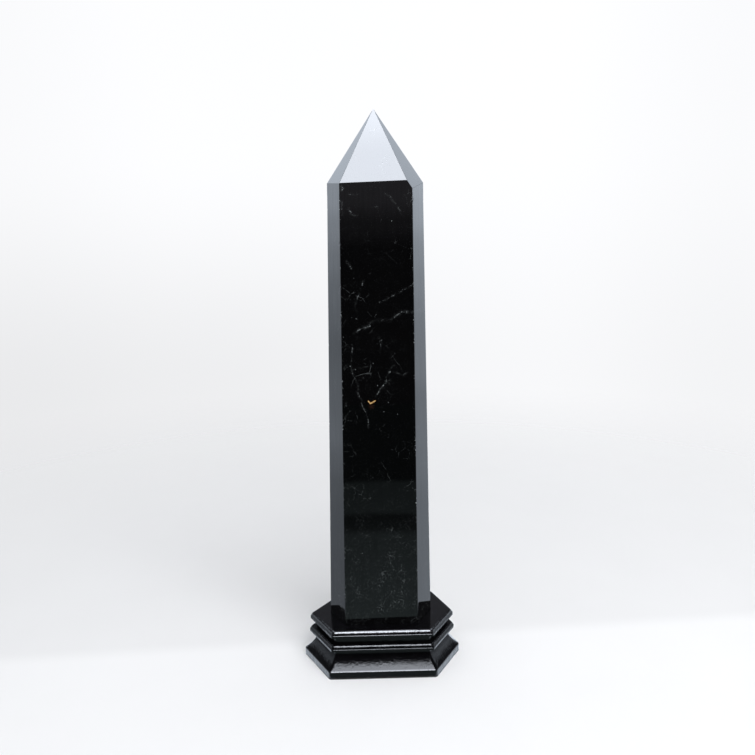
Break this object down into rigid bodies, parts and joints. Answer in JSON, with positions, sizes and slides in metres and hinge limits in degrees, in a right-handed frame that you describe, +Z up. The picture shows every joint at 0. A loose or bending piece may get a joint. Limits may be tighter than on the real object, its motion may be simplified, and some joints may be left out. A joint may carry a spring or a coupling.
{
  "type": "morion quartz point on a stand",
  "caption": "Polished black quartz point, a flat six-sided prism with a faceted tip, upright in a stepped black lacquered six-sided stand.",
  "frame": {"origin": "centre of the stand's footprint, on the surface that it rests on", "axes": "+Z up along the point; +X along the stand's long side; the broad front face looks towards -Y"},
  "size_m": [0.0968, 0.0582, 0.3266],
  "materials": {
    "morion": "polished near-black quartz with pale fracture veins",
    "black_lacquer": "glossy black lacquer on wood"
  },
  "bodies": {
    "root": {"crystal_point": "morion", "stand": "black_lacquer"}
  },
  "joints": []
}
